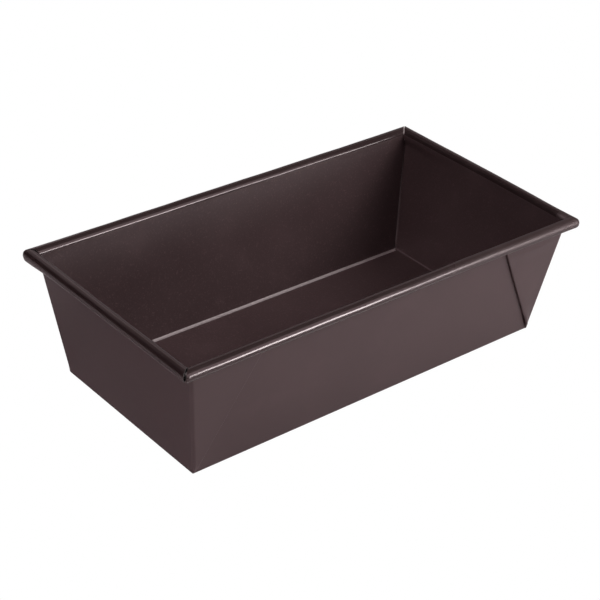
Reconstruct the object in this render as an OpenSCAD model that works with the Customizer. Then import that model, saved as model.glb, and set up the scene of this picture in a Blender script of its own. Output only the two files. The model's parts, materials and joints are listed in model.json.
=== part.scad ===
// Folded steel loaf pan with a wire-reinforced rolled rim.
// +X runs along the pan, +Z up; the origin is the middle of the base, on the bench.

/* [Pan] */
// Length of the base between the faces of the end walls
base_l = 222.5; // [180:0.5:260]
// Width of the base between the faces of the side walls
base_w = 107; // [90:0.5:130]
// Height from the bench to the top of the rim
pan_h = 70.5; // [55:0.5:90]
// Lean of all four walls from upright, in degrees
wall_lean = 8.2; // [5:0.1:12]
// Thickness of the coated steel sheet
sheet_t = 0.6; // [0.5:0.05:0.8]
// Outside radius of the bend between the base and the walls
base_bend_r = 1.6; // [1.2:0.1:3]

/* [Rolled rim] */
// Diameter of the wire inside the rim
wire_d = 4.7; // [4:0.1:5]
// Looseness of the curl round the wire, on the radius
curl_slack = 0.25; // [0.2:0.05:0.3]
// Angle left open under the curl, between its cut edge and the wall
curl_open = 52; // [45:1:80]
// Gap between the wire's two ends, halfway along the back wall
wire_gap = 1; // [0.5:0.1:3]
// Width of the slit where the end curls meet the side curls
corner_slit = 0.5; // [0.3:0.1:1]

/* [Folded corners] */
// Outside radius of the upright bend from an end wall to its gusset flap
corner_bend_r = 1.2; // [0.8:0.1:1.2]

/* [Hidden] */
$fn = 96;

// Surfaces that run into each other cross by this much, so that they join along a clean line
blend = 0.05;

// Curl: outside and inside radius, and the height of its centre
curl_r = wire_d / 2 + curl_slack + sheet_t;
bore_r = curl_r - sheet_t;
curl_z = pan_h - curl_r;

// How far the curl's centre stands out beyond the foot of the wall's outer face
curl_out = hundredth(curl_z * tan(wall_lean) + (bore_r - blend) / cos(wall_lean));
curl_x = base_l / 2 + curl_out;
curl_y = base_w / 2 + curl_out;

// The flat of the walls ends inside the curl's sheet
wall_top = hundredth(curl_z + bore_r * sin(wall_lean));

// Gusset: the blank between two corner folds, folded in half and laid back on the side wall
fold_lean = atan(sin(wall_lean));
flap_lean = (90 - 2 * fold_lean) / 2 - fold_lean;
flap_t = 2 * sheet_t;
flap_foot = base_bend_r;
flap_top = (curl_z - bore_r * 0.85) / cos(wall_lean);

// Bend of the wire's centreline at the corners, the tightest that a wire takes
wire_bend = wire_d / 2 + 0.55;

sheet_colour = [0.24, 0.18, 0.17];
wire_colour = [0.62, 0.63, 0.64];

function hundredth(value) = round(value * 100) / 100;

// Half section of the tray, filled from its middle to the wall's face, which lies
// inset inside the sheet's outer face; it ends at top_z
module half_section(half, inset, top_z) {
    bend = base_bend_r - inset;
    foot = inset * (tan(wall_lean) - 1 / cos(wall_lean));
    tangent = bend * tan(45 - wall_lean / 2);
    bend_mid = [foot - tangent, inset + bend];
    wall_start = [foot + tangent * sin(wall_lean), inset + tangent * cos(wall_lean)];
    wall_end = [foot + (top_z - inset) * tan(wall_lean), top_z];
    translate([half, 0]) {
        polygon([[-half, inset], [bend_mid[0], inset], bend_mid, wall_start, wall_end, [-half, top_z]]);
        intersection() {
            translate(bend_mid) circle(r = bend);
            polygon([[bend_mid[0], inset], [foot, inset], wall_start, bend_mid]);
        }
    }
}

// Section of half the base and one wall, cut off at wall_top
module sheet_section(half) {
    difference() {
        half_section(half, 0, wall_top);
        half_section(half, sheet_t, wall_top + sheet_t);
    }
}

// Section of the curl round its centre, open between its cut edge and the wall
module curl_section() {
    // The curl starts a little way down inside the wall's own sheet
    start = 180 - wall_lean + (acos(1 - blend / curl_r) + acos(1 - blend / bore_r)) / 2;
    end = 180 - wall_lean + curl_open;
    reach = 2 * curl_r;
    difference() {
        circle(r = curl_r);
        circle(r = bore_r);
        polygon([[0, 0], reach * [cos(start), sin(start)], reach * [cos(end), sin(end)]]);
    }
}

// Carries a section along the back of the pan (+Y), mitred at both ends
module side_run() {
    mitre_x = (base_l - base_w) / 2;
    back = base_w;
    intersection() {
        rotate([90, 0, 90]) linear_extrude(height = 2 * base_l, center = true) children();
        translate([0, 0, -sheet_t])
            linear_extrude(height = 2 * pan_h)
                polygon([[-mitre_x, 0], [mitre_x, 0], [mitre_x + back, back], [-mitre_x - back, back]]);
    }
}

// Carries a section along the right-hand end (+X), mitred, and short of the corner by a slit
module end_run(slit) {
    mitre_x = (base_l - base_w) / 2 + hundredth(slit * sqrt(2));
    back = base_w;
    intersection() {
        rotate([90, 0, 0]) linear_extrude(height = 2 * base_w, center = true) children();
        translate([0, 0, -sheet_t])
            linear_extrude(height = 2 * pan_h)
                polygon([[mitre_x, 0], [mitre_x + back, -back], [mitre_x + back, back]]);
    }
}

// Carries a section up the front wall (-Y) from its +X foot, leaning towards the middle
module up_the_wall(lean) {
    rotate([-90, 0, lean]) linear_extrude(height = 2 * pan_h) children();
}

// Gusset flap on the front wall (-Y) at its +X end: two plies, with a half-round free edge
// and a bend round the corner to the end wall
module gusset_flap() {
    sunk = sheet_t / 2;
    span = base_l / 4;
    side = -blend;
    face = flap_t + blend;
    translate([base_l / 2, -base_w / 2, 0])
        rotate([90 + wall_lean, 0, 0])
            intersection() {
                up_the_wall(flap_lean) {
                    translate([sheet_t, -flap_t]) square([span, flap_t + sunk]);
                    translate([sheet_t, -sheet_t]) circle(r = sheet_t);
                }
                up_the_wall(-fold_lean)
                    translate([side, -face]) {
                        translate([-span, 0]) square([span - corner_bend_r, face + sunk]);
                        translate([-span, corner_bend_r]) square([span, face + sunk - corner_bend_r]);
                        translate([-corner_bend_r, corner_bend_r]) circle(r = corner_bend_r);
                    }
                translate([0, 0, -pan_h])
                    linear_extrude(height = 2 * pan_h)
                        polygon([
                            [-flap_foot - sheet_t, flap_foot],
                            [flap_foot, flap_foot],
                            [flap_top, flap_top],
                            [-span, flap_top]
                        ]);
            }
}

// The pan: one sheet folded into a tray with four gusset flaps and a curl round its rim
module pan_body() {
    color(sheet_colour) {
        for (side = [0, 1]) {
            mirror([0, side, 0]) {
                side_run() sheet_section(base_w / 2);
                side_run() translate([curl_y, curl_z]) curl_section();
            }
            mirror([side, 0, 0]) {
                end_run(0) sheet_section(base_l / 2);
                end_run(corner_slit) translate([curl_x, curl_z]) curl_section();
            }
        }
        for (sx = [0, 1], sy = [0, 1])
            mirror([sx, 0, 0]) mirror([0, sy, 0]) gusset_flap();
    }
}

// The bent wire ring inside the curl, its ends meeting halfway along the back wall
module rim_wire() {
    run_x = curl_x - wire_bend;
    run_y = curl_y - wire_bend;
    color(wire_colour)
        translate([0, 0, curl_z]) {
            translate([-run_x, -curl_y, 0]) rotate([0, 90, 0]) cylinder(d = wire_d, h = 2 * run_x);
            for (side = [0, 1])
                mirror([side, 0, 0]) {
                    translate([curl_x, -run_y, 0]) rotate([-90, 0, 0]) cylinder(d = wire_d, h = 2 * run_y);
                    translate([wire_gap / 2, curl_y, 0])
                        rotate([0, 90, 0]) cylinder(d = wire_d, h = run_x - wire_gap / 2);
                    for (end = [0, 1])
                        mirror([0, end, 0])
                            translate([run_x, run_y, 0])
                                rotate_extrude(angle = 90) translate([wire_bend, 0]) circle(d = wire_d);
                }
        }
}

pan_body();
rim_wire();
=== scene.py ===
"""Looks of the folded sheet-steel loaf pan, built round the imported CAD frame.

Lengths are in millimetres until a mesh, light or camera is made.
"""

import json
import math

import bpy
import numpy as np
from mathutils import Matrix, Vector, noise

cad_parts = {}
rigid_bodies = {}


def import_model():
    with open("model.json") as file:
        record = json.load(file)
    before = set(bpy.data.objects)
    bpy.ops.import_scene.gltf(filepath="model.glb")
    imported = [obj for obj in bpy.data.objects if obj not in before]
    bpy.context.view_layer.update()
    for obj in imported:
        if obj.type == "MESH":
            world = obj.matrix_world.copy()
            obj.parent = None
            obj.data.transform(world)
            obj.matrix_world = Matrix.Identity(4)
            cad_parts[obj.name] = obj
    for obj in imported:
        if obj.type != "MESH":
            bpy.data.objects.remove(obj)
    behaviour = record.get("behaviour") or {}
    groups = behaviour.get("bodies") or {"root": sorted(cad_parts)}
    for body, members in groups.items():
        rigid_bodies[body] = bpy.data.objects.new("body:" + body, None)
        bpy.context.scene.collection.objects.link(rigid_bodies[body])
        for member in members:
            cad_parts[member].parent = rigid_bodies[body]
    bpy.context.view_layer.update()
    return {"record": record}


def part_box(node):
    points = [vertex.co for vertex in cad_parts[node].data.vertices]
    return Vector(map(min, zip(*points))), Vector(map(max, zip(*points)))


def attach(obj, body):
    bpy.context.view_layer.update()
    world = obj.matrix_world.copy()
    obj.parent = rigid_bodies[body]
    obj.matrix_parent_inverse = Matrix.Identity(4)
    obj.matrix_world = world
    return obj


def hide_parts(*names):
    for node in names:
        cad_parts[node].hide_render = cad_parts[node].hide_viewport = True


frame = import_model()

MM = 0.001

# Without a seed, noise_vector differs on every run
noise.seed_set(3)


# ---------------------------------------------------------------- sizes from the CAD

def box_mm(node):
    lo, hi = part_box(node)
    return np.array(lo) / MM, np.array(hi) / MM


pan_lo, pan_hi = box_mm("pan_body")
wire_lo, wire_hi = box_mm("rim_wire")
mounts = {mount["name"]: mount for mount in frame["record"]["mounts"]}

SHEET = mounts["loaf_floor"]["pos_m"][2] / MM
HALF_T = SHEET / 2
WIRE_R = (wire_hi[2] - wire_lo[2]) / 2
CURL_Z = (wire_hi[2] + wire_lo[2]) / 2
CURL_X = wire_hi[0] - WIRE_R
CURL_Y = wire_hi[1] - WIRE_R
CURL_R = pan_hi[0] - CURL_X
CURL_MID = CURL_R - HALF_T

# ---------------------------------------------------------------- walls and curl

# Lean of the walls, outside radius of the bends at their foot and rows round those bends
LEAN = math.radians(8.2)
SIN_L, COS_L, TAN_L = math.sin(LEAN), math.cos(LEAN), math.tan(LEAN)
BASE_BEND = 1.6
BASE_BEND_ROWS = 8

# Where the walls' outer faces would meet the bench
FOOT_X = CURL_X - CURL_Z * TAN_L - (CURL_R - SHEET) / COS_L
FOOT_Y = CURL_Y - CURL_Z * TAN_L - (CURL_R - SHEET) / COS_L

# The curl runs round the wire until this angle is left open below it. Away from the corners
# it is rolled tighter by ROLL_TIGHTER on the radius, over a length of ROLL_REACH.
CURL_OPEN = math.radians(52)
CURL_ROWS = 44
ROLL_TIGHTER = 0.12
ROLL_REACH = 14.0

# Rounding of the rim's corners in plan, on its outside and at the least on its inside
TIP_R = 2.0
INNER_R = 0.3

# Corners by (sign x, sign y): how far round the corner the seam between two curls sits on
# the outside of the rim, and how wide it gapes there and on the inside. The curls' ends
# move to their seam over a length of SEAM_FADE.
SEAMS = {
    (-1, -1): (0.4, 1.4, 0.8),
    (-1, 1): (-1.2, 0.45, 1.6),
    (1, 1): (-0.4, 0.4, 0.1),
    (1, -1): (0.3, 0.0, 0.0),
}
SEAM_FADE = 18.0

# ---------------------------------------------------------------- gussets

# A flap's free edge leans by FLAP_LEAN over the side wall, so the flap widens by
# FLAP_SPREAD for each millimetre up the wall; from FLAP_SHY_RUN on it is FLAP_SHY narrower
# than that. Its plies have their full thickness where it is FLAP_FULL wide.
FLAP_LEAN = math.radians(27.8)
FLAP_SPREAD = math.tan(FLAP_LEAN) + SIN_L
FLAP_SHY = 0.5
FLAP_SHY_RUN = 12.0
FLAP_FULL = 3.4

# From ply to ply, in sheets, and from the curl's middle down to the top of the plies
PLY_PITCH = 1.08
PLY_DROP = 2.85

# Radius of the upright bend from the end wall to the cover ply, and the clearance in it.
# At the bend's foot the cover ply stands out by CORNER_FOOT of what it does at the rim.
CORNER_BEND = 1.6
CORNER_GAP = 0.05
CORNER_FOOT = 0.3

# How each corner's flap is pressed: looseness, and thickness of its free edge in sheets.
# A loose edge stands off by LOOSE_LIFT plies all over, and by FLARE_LIFT more within about
# FLARE_REACH of FLARE_RUN up the wall, where the plies open up too.
PRESSED = {
    (-1, -1): (0.0, 0.35),
    (-1, 1): (0.0, 1.0),
    (1, 1): (0.0, 1.0),
    (1, -1): (0.5, 1.0),
}
LOOSE_LIFT = 0.15
FLARE_LIFT = 0.6
FLARE_RUN = 7.0
FLARE_REACH = 5.0

# Points of a ply, as shares of its width, steps of a fold, and lines of a lip, as shares
# of its height
PLY_PART = [0.015, 0.05, 0.14, 0.3, 0.5, 0.7, 0.86, 0.95, 0.985, 1.0]
FOLD_STEPS = 8
LIP_PART = [0.12, 0.4, 0.7, 1.0]


def smooth(x):
    x = min(1.0, max(0.0, x))
    return x * x * (3 - 2 * x)


def bell(x, reach):
    return math.exp(-(x / reach) ** 2)


class Row:
    """A line round the walls: d is how far the middle of the sheet stands out from the
    foot of the wall, z its height, run the way along the sheet from the flat of the base,
    out and up the sheet's outward normal."""

    def __init__(self, d, z, run, out, up):
        self.d, self.z, self.run, self.out, self.up = d, z, run, out, up


def spread_marks(start, step, growth, widest, end):
    """Marks from start to short of end, with a step that grows up to widest. Gives the
    marks and the step that would come next."""
    marks = [start]
    while marks[-1] + step < end:
        marks.append(marks[-1] + step)
        step = min(step * growth, widest)
    return marks, step


def wall_marks(ply_top):
    """Ways up the flat of the wall to its rows, every millimetre where the plies end."""
    close = 7
    marks, _ = spread_marks(start=0.5, step=0.6, growth=1.22, widest=4.0,
                            end=ply_top - close - 1)
    return marks + [ply_top - close + i for i in range(close + 1)]


def wall_rows():
    """Rows up to the top of the gusset plies, then rows from there to the curl."""
    bend = BASE_BEND - HALF_T
    bend_d = HALF_T * (TAN_L - 1 / COS_L) - bend * math.tan(math.pi / 4 - LEAN / 2)
    rows = []
    for a in np.linspace(-math.pi / 2, -LEAN, BASE_BEND_ROWS):
        rows.append(Row(bend_d + bend * math.cos(a), BASE_BEND + bend * math.sin(a),
                        bend * (a + math.pi / 2), math.cos(a), math.sin(a)))
    foot = rows[-1]

    def row_at(m):
        return Row(foot.d + m * SIN_L, foot.z + m * COS_L, foot.run + m, COS_L, -SIN_L)

    curl_start = math.hypot(CURL_X - FOOT_X - CURL_MID * COS_L - foot.d,
                            CURL_Z + CURL_MID * SIN_L - foot.z)
    ply_top = (CURL_Z - PLY_DROP - foot.z) / COS_L
    rows += [row_at(m) for m in wall_marks(ply_top)]
    lips = [row_at(ply_top + (curl_start - ply_top) * f) for f in LIP_PART]
    return rows, lips


def wall_columns(length):
    """Distances from a corner to the middle of a wall as shares of length, close together
    at the corner."""
    marks, step = spread_marks(start=0.0, step=0.3, growth=1.45, widest=6.0, end=length)
    if length - marks[-1] < 0.5 * step:
        marks.pop()
    return np.array(marks + [length]) / length


SIDE_PART = wall_columns(FOOT_X)
END_PART = wall_columns(FOOT_Y)


def fold(cx, cy, r, start, end, facing, part):
    """Points round a fold; facing is 1 where the sheet's outside faces away from the
    fold's middle and -1 where it faces the middle."""
    points = []
    for a in np.linspace(start, end, FOLD_STEPS + 1)[1:]:
        c, s = math.cos(a), math.sin(a)
        points.append((cx + r * c, cy + r * s, facing * c, facing * s, 0.0, part))
    return points


def ply(x0, y0, x1, y1, facing, part0, part1):
    """Points along a ply, whose thickness goes from part0 to part1."""
    return [(x0 + (x1 - x0) * f, y0 + (y1 - y0) * smooth(f), 0.0, facing, 0.0,
             part0 + (part1 - part0) * f) for f in PLY_PART]


def section(row, loose, slim):
    """Section of a quarter of the sheet at a row: the side wall from its middle to the
    corner, the folds of the gusset, and the end wall from the corner to its middle.
    Each point is (x, y, plan normal x, plan normal y, distance from the corner, share of
    the sheet's thickness)."""
    x, y = FOOT_X + row.d, FOOT_Y + row.d
    spread = FLAP_SPREAD * row.run - FLAP_SHY * smooth(row.run / FLAP_SHY_RUN)
    grown = min(1.0, spread / FLAP_FULL)
    full = SHEET * grown
    snug = PLY_PITCH * full

    # How far the two plies stand off at the free edge
    flare = loose * bell(row.run - FLARE_RUN, FLARE_REACH)
    free_one = snug * ((1 + slim) / 2 + LOOSE_LIFT * loose + FLARE_LIFT * flare)
    free_two = free_one + snug * (slim + flare)
    free_r = (free_two - free_one) / 2

    # How far they stand off at the corner, where the cover ply leans out in a straight line
    lean_out = CORNER_FOOT + (1 - CORNER_FOOT) * min(1.0, row.run / CURL_Z)
    near_two = 2 * snug * lean_out
    near_one = near_two / 2
    near_r = near_one / 2

    # The turn from the side wall into the first ply sits in the hollow of the corner bend
    bend = CORNER_BEND * grown
    x_bend, y_bend = x - bend, y + near_two - bend
    drop = near_r - near_two + bend
    hollow = math.sqrt(max(0.0, (bend - full / 2) ** 2 - drop ** 2))
    x_turn = x_bend + min(hollow, bend - full / 2) - near_r - full / 2 - CORNER_GAP * grown
    x_free = x - spread + free_r + slim * full / 2

    up, down = math.pi / 2, -math.pi / 2
    side = [(x_turn * (1 - f), y, 0.0, 1.0, x_turn * f, 1.0) for f in SIDE_PART[::-1]]
    folds = fold(x_turn, y + near_r, near_r, down, up, -1.0, lean_out)
    folds += ply(x_turn, y + near_one, x_free, y + free_one, -1.0, lean_out, slim)
    folds += fold(x_free, y + free_one + free_r, free_r, down, down - math.pi, 1.0, slim)
    folds += ply(x_free, y + free_two, x_bend, y + near_two, 1.0, slim, 1.0)
    folds += fold(x_bend, y_bend, bend, up, 0.0, 1.0, 1.0)
    end = [(x, y_bend * (1 - f), 1.0, 0.0, y_bend * f, 1.0) for f in END_PART[1:]]
    return side, folds, end


def corner_r(offset):
    return max(INNER_R, TIP_R - HALF_T - (CURL_MID - offset))


def rim_path(offset, along):
    """Point and plan normal on a line round the rim, offset out from the wire's line;
    along is the way past the middle of the corner, negative on the side wall."""
    r = corner_r(offset)
    half = r * math.pi / 4
    x, y = CURL_X + offset - r, CURL_Y + offset - r
    if along < -half:
        return x + along + half, y + r, 0.0, 1.0
    if along > half:
        return x + r, y - along + half, 1.0, 0.0
    a = (along + half) / r
    return x + r * math.sin(a), y + r * math.cos(a), math.sin(a), math.cos(a)


def lip_place(row):
    """Place of a lip's line: the same at each distance from the corner."""
    return lambda away: (row.d + FOOT_X - CURL_X, row.z, row.out, row.up)


def curl_place(a):
    """Place of the curl's line at angle a round the wire, by distance from the corner."""
    def place(away):
        shrink = ROLL_TIGHTER * (1 - math.exp(-away / ROLL_REACH))
        mid = CURL_MID - shrink
        return (-shrink * COS_L + mid * math.cos(a), CURL_Z + shrink * SIN_L + mid * math.sin(a),
                -math.cos(a), -math.sin(a))
    return place


# ---------------------------------------------------------------- sheet

class Sheet:
    """Middle surface of the sheet, with the offset to its outside face at each point."""

    GRID = 2000  # points that round to the same 1 / GRID mm are one point

    def __init__(self):
        self.ids, self.pts, self.offs, self.faces, self.kinds = {}, [], [], [], []

    def point(self, p, off):
        key = tuple(int(round(c * self.GRID)) for c in p)
        if key not in self.ids:
            self.ids[key] = len(self.pts)
            self.pts.append(p)
            self.offs.append(off)
        return self.ids[key]

    def strip(self, grid, kind, flip):
        """Quads between the rows of a grid of point ids."""
        for low, high in zip(grid, grid[1:]):
            for a, b, c, d in zip(low, low[1:], high[1:], high):
                ring = list(dict.fromkeys((a, b, c, d)))
                if len(ring) > 2:
                    self.faces.append(ring[::-1] if flip else ring)
                    self.kinds.append(kind)


class Quarter:
    """A quarter of the sheet, worked out at +X +Y and mirrored to the corner (sx, sy)."""

    def __init__(self, sheet, sx, sy):
        self.sheet, self.sx, self.sy = sheet, sx, sy
        self.flip = sx * sy > 0
        self.seam, self.gap_out, self.gap_in = SEAMS[(sx, sy)]
        self.press = PRESSED[(sx, sy)]
        self.rows, self.lips = wall_rows()
        self.n_side, self.n_end = len(SIDE_PART), len(END_PART)

    def build(self):
        grid = [self.wall_line(row) for row in self.rows]
        self.face_walls(grid)
        self.face_base()
        self.face_rim(grid[-1])

    def add(self, x, y, z, out_x, out_y, up):
        """Point and outward normal; the normal is shorter where the sheet is thinner."""
        return self.sheet.point((self.sx * x, self.sy * y, z),
                                (self.sx * out_x * HALF_T, self.sy * out_y * HALF_T, up * HALF_T))

    def strip(self, grid, kind):
        self.sheet.strip(grid, kind, self.flip)

    def wall_line(self, row):
        """Line of points round the walls and the gusset. Where the flap is narrow, its
        folds all face out along the corner."""
        narrow = 0.5
        open_up = smooth((FLAP_SPREAD * row.run - narrow) / (FLAP_FULL - narrow))
        diagonal = math.sqrt(0.5)
        line = []
        for group, points in enumerate(section(row, *self.press)):
            for x, y, nx, ny, _, part in points:
                if group == 1:
                    nx = diagonal + (nx - diagonal) * open_up
                    ny = diagonal + (ny - diagonal) * open_up
                if row.run == 0.0:
                    line.append(self.add(x, y, row.z, 0, 0, -1))
                else:
                    line.append(self.add(x, y, row.z, nx * row.out * part, ny * row.out * part,
                                         row.up * part))
        return line

    def face_walls(self, grid):
        """Walls, gussets and bends. Only the lower rows of the long bends have, inside, the bends'
        painted highlight: a far lighter coat that stands in for the reflection along them."""
        lit = BASE_BEND_ROWS - 2
        low = grid[:BASE_BEND_ROWS + 1]
        self.strip([line[:self.n_side] for line in low[:lit + 1]], "bend")
        self.strip([line[:self.n_side] for line in low[lit:]], "wall")
        self.strip([line[self.n_side - 1:] for line in low], "wall")
        self.strip(grid[BASE_BEND_ROWS:], "wall")

    def face_base(self):
        """The base, on the same columns as the walls. Its rows along the long bends have the bends'
        painted highlight, a far lighter coat in place of the reflection there."""
        row = self.rows[0]
        side, _, end = section(row, *self.press)
        xs = [p[0] for p in side]
        ys = [side[-1][1]] + [p[1] for p in end]
        base = [[self.add(x, y, row.z, 0, 0, -1) for x in xs] for y in ys[::-1]]
        lit = 2
        self.strip(base[-lit - 1:], "bend")
        self.strip(base[:-lit], "base")

    def rim_line(self, cols, is_side, place):
        """One line of points of a curl or lip; place gives offset, z and normal for a
        distance from the corner."""
        line = []
        corner = cols[-1][0] if is_side else cols[0][1]
        for x, y, _, _, away, _ in cols:
            offset, z, out, up = place(away)
            r = corner_r(offset)
            half = r * math.pi / 4
            reach = (CURL_X if is_side else CURL_Y) + offset - r + half
            across = smooth((offset + CURL_MID) / (2 * CURL_MID))
            gap = self.gap_in + (self.gap_out - self.gap_in) * across
            goal = gap / 2 - self.seam * across * (1 if is_side else -1)
            spot = (x if is_side else y) - reach
            spot += (-goal - (corner - reach)) * bell(away, SEAM_FADE)
            px, py, nx, ny = rim_path(offset, spot if is_side else -spot)
            line.append(self.add(px, py, z, nx * out, ny * out, up))
        return line

    def face_rim(self, top):
        """Lips of the walls, then the curls, out to the seam at the corner. The back curl's
        tip at the far right has the bends' painted highlight, standing in for its thin edge catching
        the light."""
        side_grid, end_grid = [top[:self.n_side]], [top[-self.n_end:]]

        def add_lines(row, place):
            side, folds, end = section(row, *self.press)
            side_grid.append(self.rim_line(side, True, place))
            end_grid.append(self.rim_line([folds[-1]] + end, False, place))

        for row in self.lips:
            add_lines(row, lip_place(row))
        n_lips = len(self.lips)
        angles = np.linspace(math.pi - LEAN, CURL_OPEN - math.pi - LEAN, CURL_ROWS + 1)
        for a in angles[1:]:
            add_lines(self.lips[-1], curl_place(a))
        self.strip(side_grid[:n_lips + 1], "wall")
        self.strip(end_grid[:n_lips + 1], "wall")
        curl = side_grid[n_lips:]
        if self.sx > 0 and self.sy > 0:
            tip = 2
            self.strip([line[:-tip] for line in curl], "curl")
            self.strip([line[-tip - 1:] for line in curl], "bend")
        else:
            self.strip(curl, "curl")
        self.strip(end_grid[n_lips:], "curl")


# ---------------------------------------------------------------- unevenness

# Waves of the pressed sheet: length, height in plan and height upright
WIDE_WAVE = (70.0, 0.16, 0.06)
NARROW_WAVE = (23.0, 0.03, 0.0)

# Waves that the rolling leaves on the curl: height, length along it and across it
ROLL_WAVE = 0.16
ROLL_ALONG = 19.0
ROLL_ACROSS = 6.0

# Sag of the curl at the far left, swelling of the front wall, bow of the far right corner,
# and how the rim is pulled at the front right
SAG = 1.1
SWELL = 0.35
BOW = 1.7
SKEW = np.array((-0.9, 0.0, -0.4))


def wave(p, size, shift, lift):
    """Move by one noise; lift fades its upright share towards the base."""
    length, plan, upright = size
    return np.array(noise.noise_vector(Vector(p) / length + shift)) * (plan, plan, upright * lift)


def pressed(p):
    """Slight unevenness of real pressed sheet; the base lies flat."""
    lift = min(1.0, p[2] / 8.0)
    move = wave(p, WIDE_WAVE, Vector((0, 0, 0)), lift)
    move += wave(p, NARROW_WAVE, Vector((7, 3, 1)), lift)
    return move * (0.25 + 0.75 * lift)


def rolled(p):
    """Waves along the curl, fading out at the corners and low down on it."""
    x, y, z = p
    low = 2.5
    if z <= CURL_Z - low:
        return 0.0
    from_side, from_end = CURL_Y - abs(y), CURL_X - abs(x)
    if from_side < from_end:
        out = np.array((0, y - math.copysign(CURL_Y, y), z - CURL_Z))
        at = Vector((x / ROLL_ALONG, y / ROLL_ACROSS, z / ROLL_ACROSS))
    else:
        out = np.array((x - math.copysign(CURL_X, x), 0, z - CURL_Z))
        at = Vector((x / ROLL_ACROSS, y / ROLL_ALONG, z / ROLL_ACROSS))
    out /= np.linalg.norm(out) + 0.01
    fade = smooth(abs(from_end - from_side) / 6.0) * smooth((z - CURL_Z + low) / 1.5)
    return out * noise.noise(at) * ROLL_WAVE * fade


def curl_sag(p):
    """The curl hangs a little lower where it turns the far left corner."""
    x, y, z = p
    band = 6
    if abs(x) <= CURL_X - band and abs(y) <= CURL_Y - band:
        return 0.0
    corner = bell(math.hypot(x + CURL_X, y - CURL_Y), 15.0)
    return SAG * corner * smooth((CURL_Z - z) / 2.5) * smooth((z - CURL_Z + 5.5) / 2.0)


def front_swell(p):
    """The front wall swells under the curl, where the plies run into it."""
    x, y, z = p
    if y >= 0 or z >= CURL_Z - 1:
        return 0.0
    along = bell(x - 103.0, 20.0) * smooth((CURL_X - 7.0 - x) / 8.0)
    height = bell(z - 58.0, 2.0)
    return SWELL * along * height * smooth(-y / 10.0)


def corner_bow(p):
    """The far right corner stands out a little below the curl."""
    x, y, z = p
    corner = bell(CURL_X - x, 14.0) * bell(CURL_Y - y, 26.0)
    height = smooth((CURL_Z - 1.0 - z) / 5.0) * (0.55 + 0.45 * smooth(z / 15.0))
    return BOW * corner * height


def corner_skew(x, y):
    """The rim is pulled in and down a little at the front right corner."""
    return SKEW * bell(x - pan_hi[0], 60.0) * bell(y - pan_lo[1], 45.0)


def waver(p):
    """Move of a point of the sheet by all its unevenness."""
    move = pressed(p) + rolled(p)
    move[2] -= curl_sag(p)
    move[1] -= front_swell(p)
    move[0] += corner_bow(p)
    return move + corner_skew(p[0], p[1]) * min(1.0, p[2] / CURL_Z)


# ---------------------------------------------------------------- meshes

# Order of the sheet's materials, and which one each kind of face has inside
# The last slot, for the "bend" faces, is a painted highlight: a far lighter coat in place of the
# reflection along the long inner bends and on the back curl's far right tip.
OUTSIDE, INSIDE, RIM, CUT_EDGE, PAINTED_HIGHLIGHT = range(5)
INSIDE_SLOT = {"curl": RIM, "base": INSIDE, "wall": INSIDE, "bend": PAINTED_HIGHLIGHT}


def make_object(name, verts_mm, faces, materials):
    mesh = bpy.data.meshes.new(name)
    mesh.from_pydata([tuple(v * MM for v in p) for p in verts_mm], [], faces)
    mesh.polygons.foreach_set("use_smooth", [True] * len(faces))
    for material in materials:
        mesh.materials.append(material)
    obj = bpy.data.objects.new(name, mesh)
    bpy.context.scene.collection.objects.link(obj)
    return obj


def thicken(sheet, name, materials):
    """Closed mesh of the sheet: outside faces, inside faces and the cut edges, which are
    the edges that only one face has."""
    n = len(sheet.pts)
    mid = np.array([np.array(p) + waver(p) for p in sheet.pts])
    off = np.array(sheet.offs)
    faces, slots = [], []
    edges = set()
    for ring, kind in zip(sheet.faces, sheet.kinds):
        faces += [ring, [i + n for i in ring[::-1]]]
        slots += [OUTSIDE, INSIDE_SLOT[kind]]
        edges.update(zip(ring, ring[1:] + ring[:1]))
    cut = [(a, b) for ring in sheet.faces for a, b in zip(ring, ring[1:] + ring[:1])
           if (b, a) not in edges]
    for a, b in cut:
        faces.append([b, a, a + n, b + n])
        slots.append(CUT_EDGE)
    obj = make_object(name, np.concatenate((mid + off, mid - off)), faces, materials)
    mesh = obj.data
    mesh.polygons.foreach_set("material_index", slots)
    sharp = {tuple(sorted(edge)) for a, b in cut for edge in ((a, b), (a + n, b + n))}
    for edge in mesh.edges:
        edge.use_edge_sharp = tuple(sorted(edge.vertices)) in sharp
    mesh.validate()
    mesh.update()
    return obj


# The wire: how far it moves in and how much smaller its radius is to fit the tighter curl,
# inside radius of its bends, half the gap between its ends, chamfer of the ends, and sides
# of its round section
WIRE_IN = ROLL_TIGHTER
WIRE_BEND = 0.55
WIRE_HALF_GAP = 0.5
WIRE_CHAMFER = 0.25
WIRE_SIDES = 20


def wire_path():
    """Line of the wire round the rim, from its end halfway along the back wall by the left
    and the front to the other end."""
    bend = WIRE_R + WIRE_BEND
    x, y = CURL_X - WIRE_IN * COS_L, CURL_Y - WIRE_IN * COS_L
    x_in, y_in = x - bend, y - bend
    steps, turn_steps = 12, 8
    path = []

    def straight(start, end, count):
        for i in range(count):
            f = i / count
            path.append((start[0] + (end[0] - start[0]) * f, start[1] + (end[1] - start[1]) * f))

    def turn(cx, cy, start):
        for i in range(turn_steps):
            a = start + math.pi / 2 * i / turn_steps
            path.append((cx + bend * math.cos(a), cy + bend * math.sin(a)))

    straight((-WIRE_HALF_GAP, y), (-x_in, y), steps)
    turn(-x_in, y_in, math.pi / 2)
    straight((-x, y_in), (-x, -y_in), steps)
    turn(-x_in, -y_in, math.pi)
    straight((-x_in, -y), (x_in, -y), 2 * steps)
    turn(x_in, -y_in, 3 * math.pi / 2)
    straight((x, -y_in), (x, y_in), steps)
    turn(x_in, y_in, 0.0)
    straight((x_in, y), (WIRE_HALF_GAP, y), steps)
    path.append((WIRE_HALF_GAP, y))
    return np.array(path)


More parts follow.
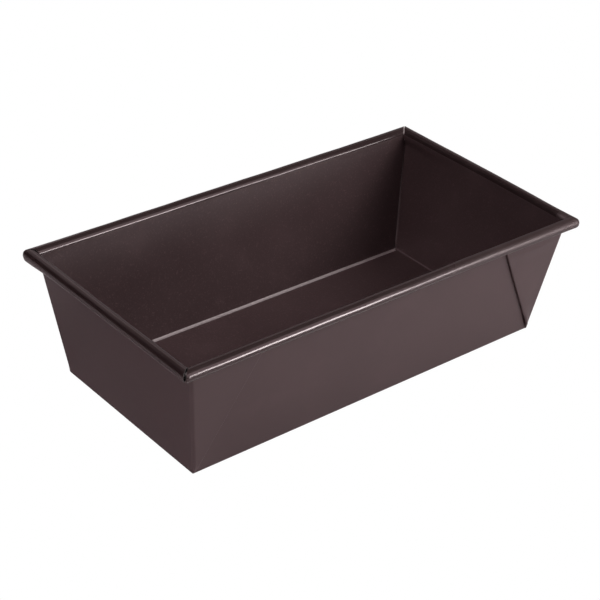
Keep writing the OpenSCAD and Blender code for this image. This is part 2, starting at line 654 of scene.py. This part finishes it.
def rim_wire(name, material):
    """Round wire in the middle of the curls, with chamfered ends."""
    r = WIRE_R - WIRE_IN
    z = CURL_Z + WIRE_IN * SIN_L
    path = wire_path()
    ahead = np.gradient(path, axis=0)
    ahead /= np.linalg.norm(ahead, axis=1)[:, None]
    last = len(path) - 1

    # Rings of points: place on the path, radius, shift along the wire
    rings = [(0, r - WIRE_CHAMFER, 0.0), (0, r, WIRE_CHAMFER)]
    rings += [(i, r, 0.0) for i in range(1, last)]
    rings += [(last, r, -WIRE_CHAMFER), (last, r - WIRE_CHAMFER, 0.0)]
    verts = []
    for i, radius, shift in rings:
        middle = path[i] + ahead[i] * shift
        across = np.array((-ahead[i][1], ahead[i][0]))
        for j in range(WIRE_SIDES):
            a = 2 * math.pi * j / WIRE_SIDES
            x, y = middle + across * radius * math.cos(a)
            verts.append(np.array((x, y, z + radius * math.sin(a))) + corner_skew(x, y))

    faces = [list(range(WIRE_SIDES))[::-1]]
    for i in range(len(rings) - 1):
        for j in range(WIRE_SIDES):
            a, b = i * WIRE_SIDES + j, i * WIRE_SIDES + (j + 1) % WIRE_SIDES
            faces.append([a, b, b + WIRE_SIDES, a + WIRE_SIDES])
    faces.append([(len(rings) - 1) * WIRE_SIDES + j for j in range(WIRE_SIDES)])

    obj = make_object(name, verts, faces, [material])
    for end_cap in (0, len(faces) - 1):
        obj.data.polygons[end_cap].use_smooth = False
    obj.data.update()
    return obj


# ---------------------------------------------------------------- materials

def rgb(r, g, b):
    return (r, g, b, 1.0)


class Nodes:
    """Shorthand for building a material's node tree."""

    def __init__(self, name):
        self.mat = bpy.data.materials.new(name)
        self.mat.use_nodes = True
        self.tree = self.mat.node_tree
        self.tree.nodes.clear()
        self.out = self.add("ShaderNodeOutputMaterial")
        self.bsdf = self.add("ShaderNodeBsdfPrincipled")
        self.link(self.bsdf.outputs[0], self.out.inputs[0])
        self.coord = self.add("ShaderNodeTexCoord").outputs["Object"]

    def add(self, kind, **values):
        node = self.tree.nodes.new(kind)
        for key, value in values.items():
            setattr(node, key, value)
        return node

    def link(self, a, b):
        self.tree.links.new(a, b)

    def put(self, socket, value):
        """Link an output to the socket, or set the socket to a plain value."""
        if isinstance(value, bpy.types.NodeSocket):
            self.link(value, socket)
        else:
            socket.default_value = value

    def noise(self, scale, detail=3.0, rough=0.5, stretch=None):
        node = self.add("ShaderNodeTexNoise")
        node.inputs["Scale"].default_value = scale
        node.inputs["Detail"].default_value = detail
        node.inputs["Roughness"].default_value = rough
        where = self.coord
        if stretch:
            mapping = self.add("ShaderNodeMapping")
            mapping.inputs["Scale"].default_value = stretch
            self.link(where, mapping.inputs[0])
            where = mapping.outputs[0]
        self.link(where, node.inputs["Vector"])
        return node.outputs["Fac"]

    def remap(self, value, lo, hi, to_lo, to_hi):
        node = self.add("ShaderNodeMapRange")
        self.put(node.inputs["Value"], value)
        for key, v in zip(("From Min", "From Max", "To Min", "To Max"), (lo, hi, to_lo, to_hi)):
            node.inputs[key].default_value = v
        return node.outputs[0]

    def math(self, op, a, b):
        node = self.add("ShaderNodeMath", operation=op)
        self.put(node.inputs[0], a)
        self.put(node.inputs[1], b)
        return node.outputs[0]

    def mix(self, fac, a, b):
        node = self.add("ShaderNodeMix", data_type="RGBA")
        self.put(node.inputs["Factor"], fac)
        self.put(node.inputs["A"], a)
        self.put(node.inputs["B"], b)
        return node.outputs["Result"]

    def bump(self, height, distance, strength, after=None):
        node = self.add("ShaderNodeBump")
        node.inputs["Distance"].default_value = distance
        node.inputs["Strength"].default_value = strength
        self.put(node.inputs["Height"], height)
        if after is not None:
            self.link(after, node.inputs["Normal"])
        return node.outputs[0]


# Where the rim is duller, in metres: x and y from not at all to fully
DULL_X = (-0.02, 0.11)
DULL_Y = (-0.055, -0.06)


def brighter(colour, times):
    return rgb(*(c * times for c in colour))


def coating(name, dark, light, rough, tint, grain, grain_scale=420.0, speckle=0.0, dulled=0.0):
    """Dark satin non-stick coating: cloudy brown, orange peel, light flecks and rubbed
    spots. grain is the depth of the orange peel in metres, dulled how much is added to
    the roughness towards the front right corner."""
    n = Nodes(name)
    cloud = n.noise(scale=14.0, detail=4.0, rough=0.55)
    fine = n.noise(scale=grain_scale, detail=2.0, rough=0.6)
    finer = n.noise(scale=grain_scale * 2.7, detail=2.0, rough=0.5)
    rub = n.remap(n.noise(scale=55.0, detail=2.0, rough=0.5), 0.58, 0.78, 0.0, 0.35)

    colour = n.mix(n.remap(cloud, 0.3, 0.7, 0.0, 1.0), rgb(*dark), rgb(*light))
    fleck = n.remap(fine, 0.56, 0.74, 0.0, speckle)
    colour = n.mix(fleck, colour, brighter(light, 2.2))
    colour = n.mix(rub, colour, brighter(light, 1.35))
    n.link(colour, n.bsdf.inputs["Base Color"])

    roughness = n.math("ADD", n.remap(cloud, 0.3, 0.7, rough - 0.03, rough + 0.03),
                       n.math("MULTIPLY", rub, 0.1))
    if dulled:
        place = n.add("ShaderNodeSeparateXYZ")
        n.link(n.coord, place.inputs[0])
        more = n.math("MULTIPLY", n.remap(place.outputs["X"], *DULL_X, 0.0, dulled),
                      n.remap(place.outputs["Y"], *DULL_Y, 0.0, 1.0))
        roughness = n.math("ADD", roughness, more)
    n.link(roughness, n.bsdf.inputs["Roughness"])
    n.bsdf.inputs["IOR"].default_value = 1.5
    n.bsdf.inputs["Specular Tint"].default_value = rgb(*tint)

    peel = n.bump(fine, grain, 0.8)
    n.link(n.bump(finer, grain * 0.4, 0.8, peel), n.bsdf.inputs["Normal"])
    return n.mat


def steel(name, rough):
    """Plain drawn steel with fine drawing lines."""
    n = Nodes(name)
    lines = n.noise(scale=260.0, detail=4.0, rough=0.6, stretch=(0.25, 0.25, 6.0))
    tint = n.mix(n.remap(n.noise(scale=40.0), 0.35, 0.65, 0.0, 1.0),
                 rgb(0.075, 0.07, 0.07), rgb(0.04, 0.037, 0.036))
    n.link(tint, n.bsdf.inputs["Base Color"])
    n.bsdf.inputs["Metallic"].default_value = 1.0
    n.link(n.remap(lines, 0.2, 0.8, rough - 0.08, rough + 0.1), n.bsdf.inputs["Roughness"])
    n.link(n.bump(lines, 0.00003, 0.6), n.bsdf.inputs["Normal"])
    return n.mat


outside = coating("coat_outside", dark=(0.046, 0.027, 0.028), light=(0.055, 0.033, 0.034),
                  rough=0.32, tint=(1.0, 0.80, 0.83), grain=0.00002)
inside = coating("coat_inside", dark=(0.044, 0.027, 0.028), light=(0.056, 0.035, 0.036),
                 rough=0.40, tint=(1.0, 0.84, 0.85), grain=0.00005, grain_scale=1100.0,
                 speckle=0.6)
rim = coating("coat_rim", dark=(0.036, 0.023, 0.023), light=(0.042, 0.028, 0.028),
              rough=0.14, tint=(1.0, 0.86, 0.87), grain=0.000015, dulled=0.3)
cut_edge = coating("coat_cut_edge", dark=(0.05, 0.042, 0.040), light=(0.12, 0.11, 0.11),
                   rough=0.42, tint=(1.0, 0.9, 0.9), grain=0.00003, grain_scale=900.0,
                   speckle=0.3)
# Painted highlight: a coat six to seven times lighter than the others. It stands in for the bright
# reflection along the long walls' inner bends and on the back curl's far right tip.
bend_highlight_paint = coating("coat_bend_painted_highlight", dark=(0.27, 0.235, 0.235), light=(0.36, 0.31, 0.31),
                     rough=0.30, tint=(1.0, 0.9, 0.9), grain=0.00003, grain_scale=520.0,
                     speckle=0.15)
drawn_steel = steel("drawn_steel", 0.34)

# ---------------------------------------------------------------- pieces

pan_sheet = Sheet()
for corner in SEAMS:
    Quarter(pan_sheet, *corner).build()
pan = thicken(pan_sheet, "folded_sheet", [outside, inside, rim, cut_edge, bend_highlight_paint])
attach(pan, "root")
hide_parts("pan_body")

wire = rim_wire("wire_ring", drawn_steel)
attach(wire, "root")
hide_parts("rim_wire")

# ---------------------------------------------------------------- floor and backdrop

scene = bpy.context.scene
scene.view_settings.view_transform = "Standard"


def floor_material():
    """Plain white to the camera, slightly tinted for the light that it throws back."""
    n = Nodes("pale_floor")
    n.bsdf.inputs["Base Color"].default_value = rgb(0.82, 0.75, 0.76)
    n.bsdf.inputs["Roughness"].default_value = 0.6
    white = n.add("ShaderNodeEmission")
    white.inputs["Color"].default_value = rgb(1, 1, 1)
    seen = n.add("ShaderNodeLightPath").outputs["Is Camera Ray"]
    mix = n.add("ShaderNodeMixShader")
    n.link(seen, mix.inputs[0])
    n.link(n.bsdf.outputs[0], mix.inputs[1])
    n.link(white.outputs[0], mix.inputs[2])
    n.link(mix.outputs[0], n.out.inputs[0])
    return n.mat


floor_half = 4000.0
floor_corners = [(x * floor_half, y * floor_half, 0) for x, y in ((-1, -1), (1, -1), (1, 1), (-1, 1))]
floor = make_object("floor", floor_corners, [[0, 1, 2, 3]], [floor_material()])
floor.location.z = -0.2 * MM


def backdrop():
    """World that is white to the camera and gives no light."""
    world = bpy.data.worlds.new("studio")
    world.use_nodes = True
    tree = world.node_tree
    tree.nodes.clear()
    out = tree.nodes.new("ShaderNodeOutputWorld")
    mix = tree.nodes.new("ShaderNodeMixShader")
    path = tree.nodes.new("ShaderNodeLightPath")
    tree.links.new(path.outputs["Is Camera Ray"], mix.inputs[0])
    for slot, strength in ((1, 0.0), (2, 1.0)):
        background = tree.nodes.new("ShaderNodeBackground")
        background.inputs["Color"].default_value = rgb(1, 1, 1)
        background.inputs["Strength"].default_value = strength
        tree.links.new(background.outputs[0], mix.inputs[slot])
    tree.links.new(mix.outputs[0], out.inputs[0])
    return world


scene.world = backdrop()

# ---------------------------------------------------------------- light

# Colours of the lamps, the point they aim at, their distance from it, and how far in
# front of the pan the rim's lamps stand
WHITE = (1.0, 1.0, 1.0)
ROSE = (1.0, 0.86, 0.89)
MIDDLE = Vector((0, 0, 40))
LAMP_DISTANCE = 1500
RIM_LAMP_Y = -600


def towards(azimuth, elevation):
    """Direction from the pan to a light or camera; azimuth 0 is the pan's front."""
    a, e = math.radians(azimuth), math.radians(elevation)
    return Vector((math.sin(a) * math.cos(e), -math.cos(a) * math.cos(e), math.sin(e)))


def area_light(name, spot, back, size, power, colour, lights):
    """Rectangular lamp at spot that shines against back. It lights only the dull
    ("diffuse") or only the shiny ("glossy") share of the surfaces."""
    light = bpy.data.lights.new(name, "AREA")
    light.shape = "RECTANGLE"
    light.size, light.size_y = size[0] * MM, size[1] * MM
    light.energy = power
    light.color = colour
    obj = bpy.data.objects.new(name, light)
    scene.collection.objects.link(obj)
    obj.location = spot * MM
    obj.rotation_mode = "QUATERNION"
    obj.rotation_quaternion = (-back).to_track_quat("-Z", "Y")
    obj.visible_camera = False
    obj.visible_diffuse = lights == "diffuse"
    obj.visible_glossy = lights == "glossy"


def fill(name, azimuth, elevation, power, colour=WHITE):
    """Soft box for the broad shading."""
    back = towards(azimuth, elevation)
    area_light(name, MIDDLE + back * LAMP_DISTANCE, back, (600, 500), power, colour, "diffuse")


def sheen(name, azimuth, elevation, power, distance=LAMP_DISTANCE, size=(500, 400)):
    """Soft box for the satin shine of the flat walls."""
    back = towards(azimuth, elevation)
    area_light(name, MIDDLE + back * distance, back, size, power, ROSE, "glossy")


def rim_light(name, x0, x1, z0, z1, power):
    """Upright soft box in front of the pan, whose reflection draws a line along the rim."""
    spot = Vector(((x0 + x1) / 2, RIM_LAMP_Y, (z0 + z1) / 2))
    area_light(name, spot, towards(0, 0), (x1 - x0, z1 - z0), power, WHITE, "glossy")


fill("key", 45, 30, 13.4)
fill("key_high", 45, 50, 5.8)
fill("fill_left", -90, 50, 6.2, ROSE)
fill("fill_right", 80, 50, 1.6)
fill("fill_behind", 160, 30, 1.1, ROSE)
sheen("sheen_left", -90, 50, 32.0)
sheen("sheen_camera", -40, 30, 18.0)
sheen("sheen_front", 20, 30, 7.0, size=(1200, 1100))
sheen("sheen_right", 45, 30, 1.8)
sheen("sheen_behind", 180, 25, 1.6, distance=1300, size=(1100, 1000))
sheen("sheen_back_right", 140, 25, 1.0, distance=1300, size=(1100, 1000))
rim_light("rim_line", 190, 385, 0, 200, 2.5)
rim_light("rim_line_end", 385, 640, 90, 215, 1.4)

# ---------------------------------------------------------------- camera

# Bearing and elevation in degrees, roll, distance from the point looked at, and lens
VIEW_AZ = -40.14
VIEW_EL = 31.01
VIEW_ROLL = math.radians(2.393)
VIEW_DISTANCE = 858.0
VIEW_AIM = Vector((-7.43, -3.04, 34.75))
LENS = 100.57


def view_camera():
    """Camera that looks at VIEW_AIM, turned about its own line of sight by VIEW_ROLL."""
    data = bpy.data.cameras.new("camera")
    data.lens = LENS
    data.sensor_width = 36.0
    data.clip_start, data.clip_end = 0.05, 50.0
    camera = bpy.data.objects.new("camera", data)
    scene.collection.objects.link(camera)
    back = towards(VIEW_AZ, VIEW_EL)
    level = Vector((0, 0, 1)).cross(back).normalized()
    upright = back.cross(level)
    right = level * math.cos(VIEW_ROLL) + upright * math.sin(VIEW_ROLL)
    up = upright * math.cos(VIEW_ROLL) - level * math.sin(VIEW_ROLL)
    turned = Matrix((right, up, back)).transposed().to_4x4()
    camera.matrix_world = Matrix.Translation((VIEW_AIM + back * VIEW_DISTANCE) * MM) @ turned
    return camera


scene.camera = view_camera()
